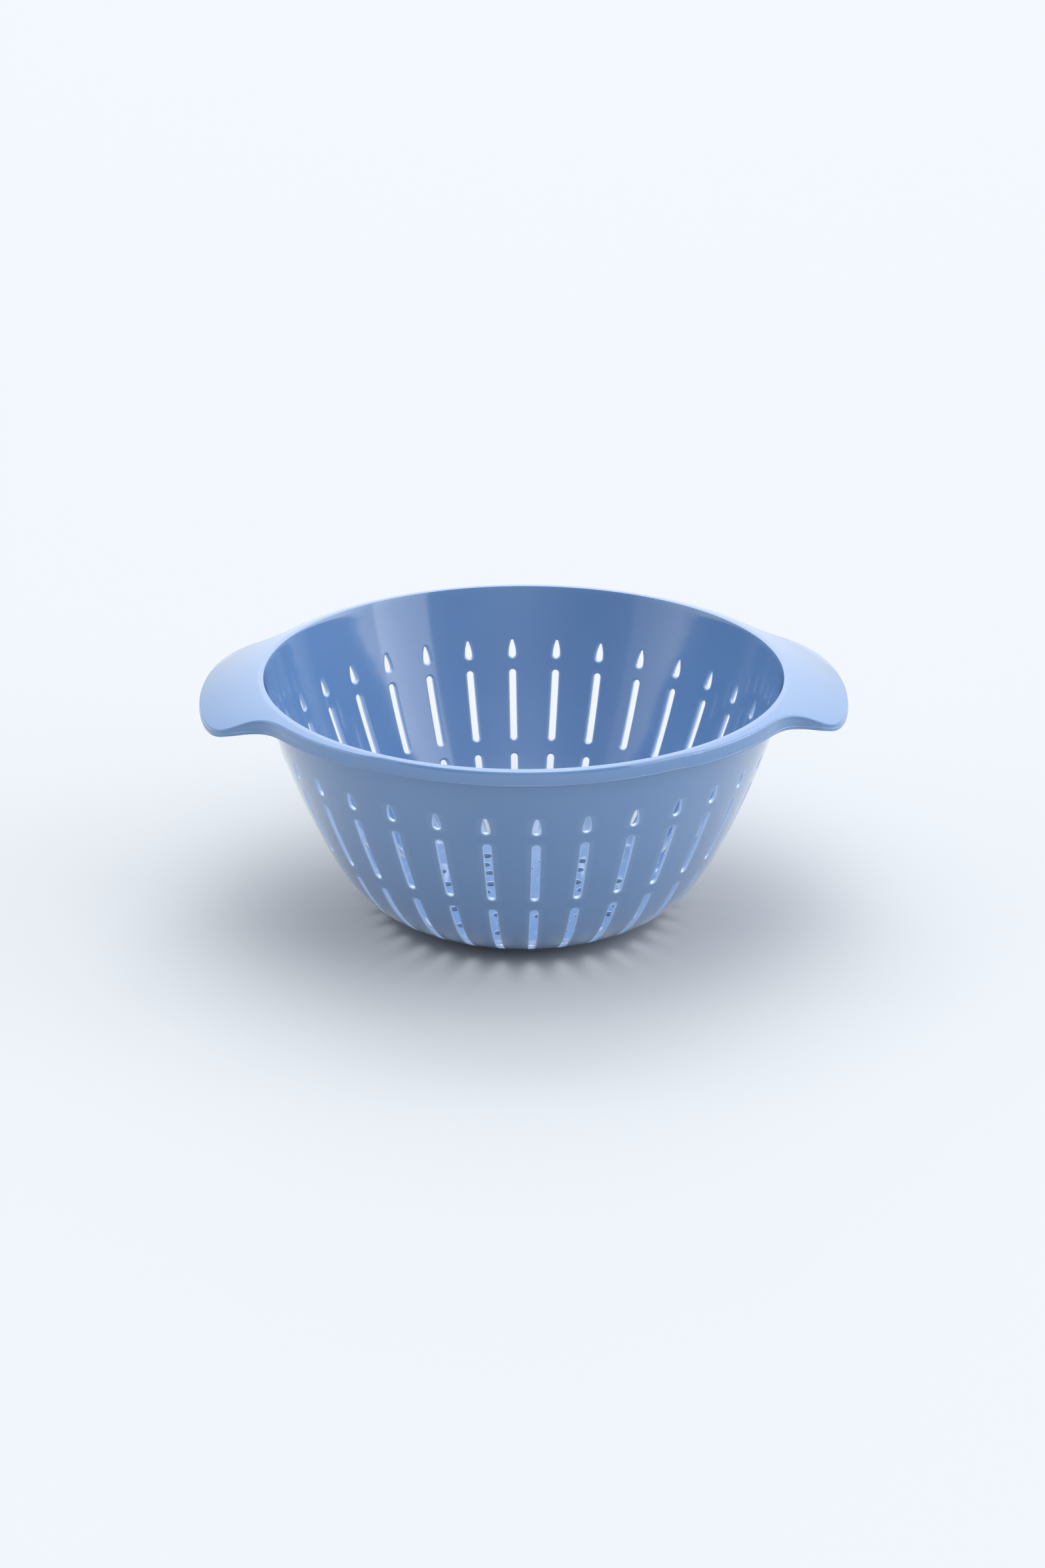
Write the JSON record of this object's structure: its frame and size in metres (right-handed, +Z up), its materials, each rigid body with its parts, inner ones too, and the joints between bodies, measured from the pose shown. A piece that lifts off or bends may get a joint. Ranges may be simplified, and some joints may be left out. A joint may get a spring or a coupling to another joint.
{
  "type": "colander",
  "caption": "Round plastic colander with columns of long drain slots, a perforated flat floor on a low foot ring, a rolled rim and tab handles.",
  "frame": {"origin": "centre of the colander's box on its resting face, which is the underside of the foot ring", "axes": "+Z up out of the bowl's mouth, +X through the right handle, so X runs through both handles"},
  "size_m": [0.2998, 0.248, 0.1172],
  "materials": {
    "blue_plastic": "glossy injection-moulded light blue plastic"
  },
  "bodies": {
    "root": {"bowl_wall": "blue_plastic", "base": "blue_plastic", "foot_ring": "blue_plastic", "rim": "blue_plastic", "left_handle": "blue_plastic", "right_handle": "blue_plastic"}
  },
  "joints": []
}
